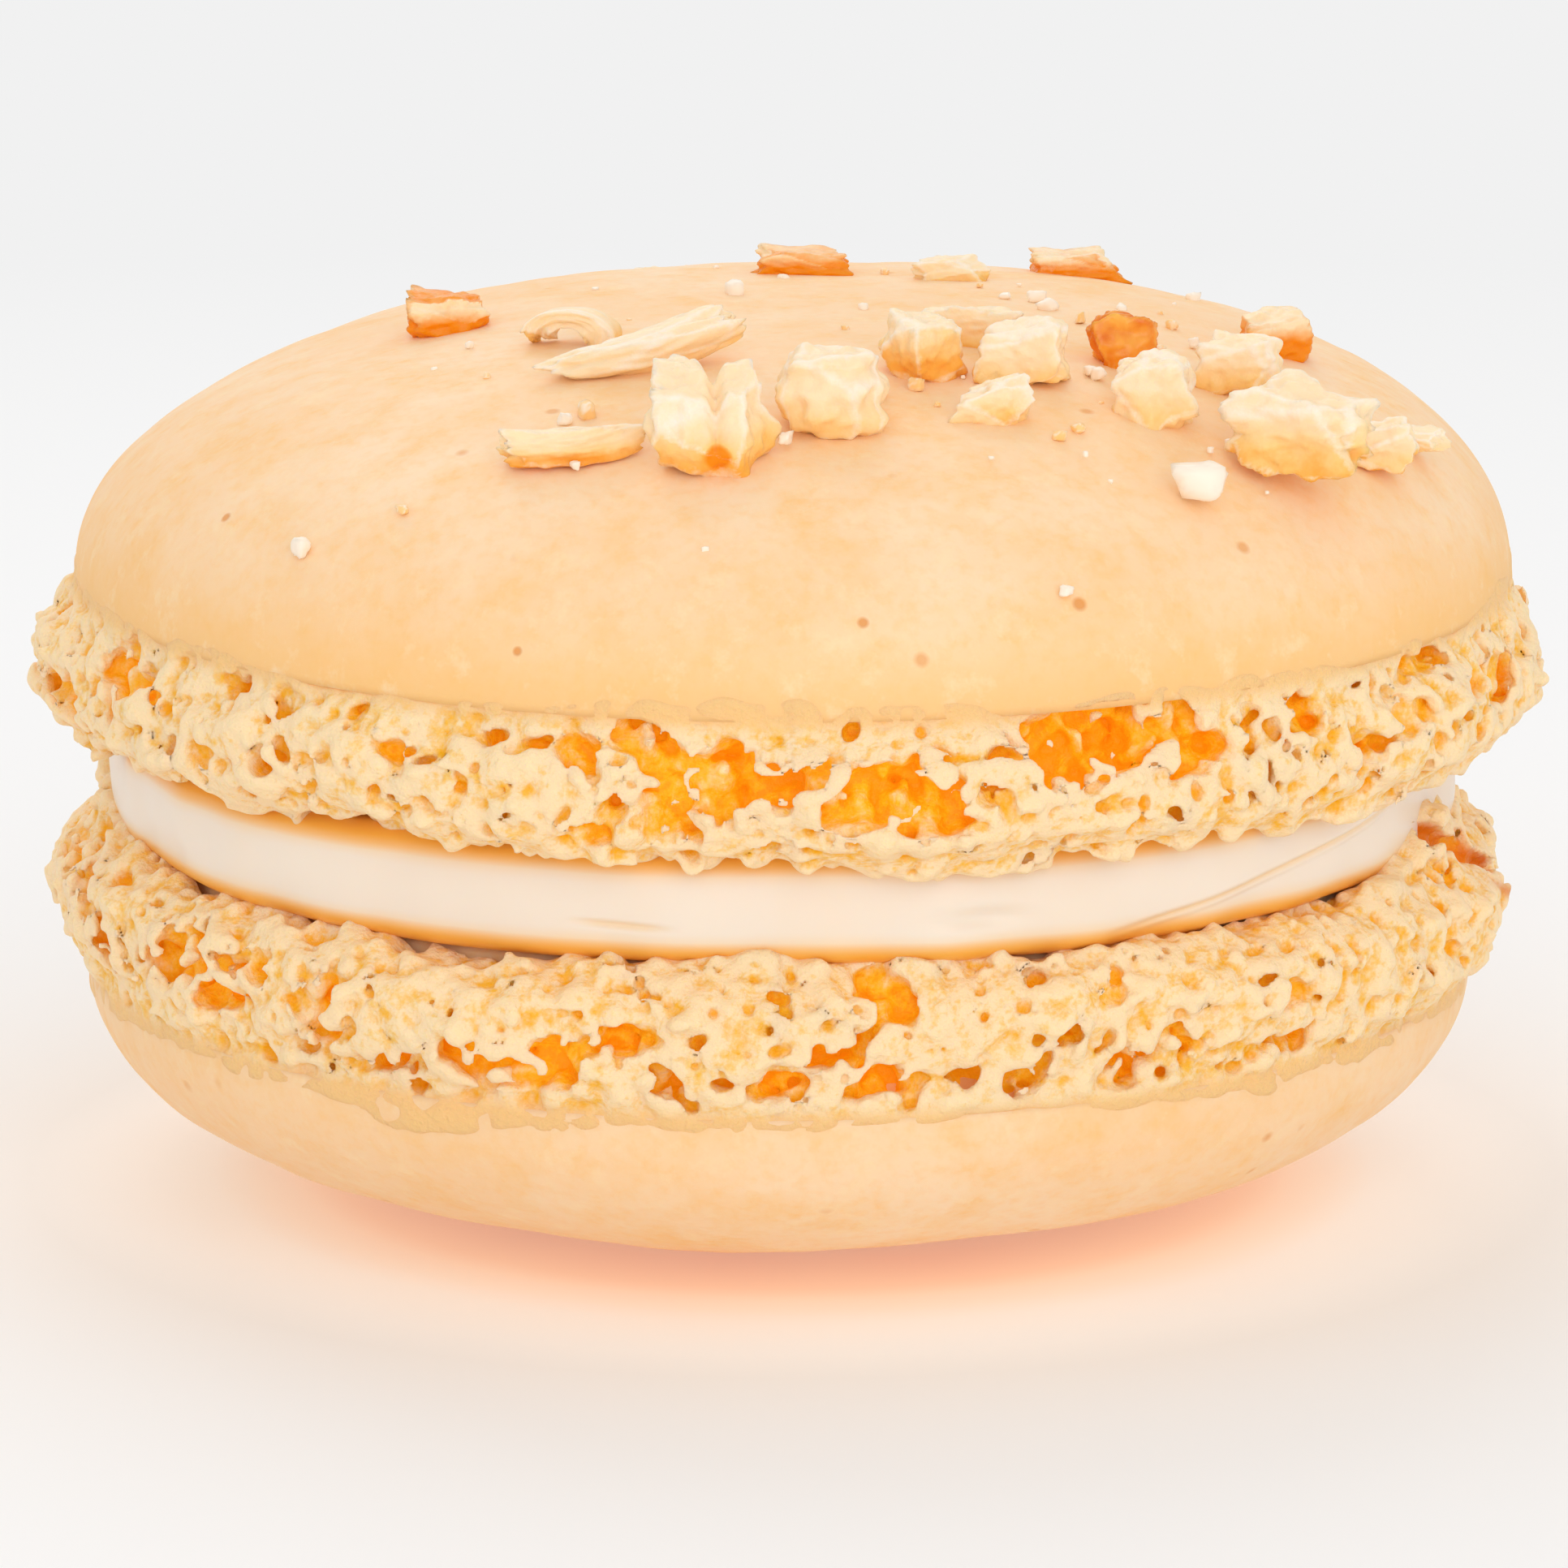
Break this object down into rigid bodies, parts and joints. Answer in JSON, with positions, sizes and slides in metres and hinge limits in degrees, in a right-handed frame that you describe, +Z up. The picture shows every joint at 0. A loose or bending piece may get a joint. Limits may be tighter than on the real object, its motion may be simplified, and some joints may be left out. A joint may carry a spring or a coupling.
{
  "type": "french macaron",
  "caption": "Round sandwich biscuit: domed smooth meringue shells with porous ruffled feet, a cream filling between them and chopped nuts scattered on top.",
  "frame": {"origin": "centre of the outline at the bottom, where the lower shell rests", "axes": "+Z up through both shells; -Y is the side seen from the front; +X to the right"},
  "size_m": [0.048, 0.0482, 0.0308],
  "materials": {
    "meringue": "matt, smooth dry skin on the caps and open crumb on the feet",
    "cream": "soft satin cream",
    "nut_kernel": "matt cut faces with a waxy edge",
    "nut_amber": "glossy roasted amber"
  },
  "bodies": {
    "root": {"lower_shell": "meringue", "filling": "cream", "upper_shell": "meringue", "nut_curl": "nut_kernel", "nut_amber_left": "nut_amber", "nut_sliver": "nut_kernel", "nut_flake": "nut_kernel", "nut_upright": "nut_kernel", "nut_large": "nut_kernel", "nut_half": "nut_kernel", "nut_long": "nut_kernel", "nut_facet": "nut_kernel", "nut_grain": "nut_kernel", "nut_skin": "nut_amber", "nut_round": "nut_kernel", "nut_pale": "nut_kernel", "nut_amber_right": "nut_amber", "nut_rough": "nut_kernel", "nut_yellow": "nut_kernel", "nut_chip": "nut_kernel", "nut_ridge_left": "nut_amber", "nut_ridge_middle": "nut_kernel", "nut_ridge_right": "nut_amber", "nut_back_left": "nut_kernel", "nut_back_right": "nut_kernel"}
  },
  "joints": []
}
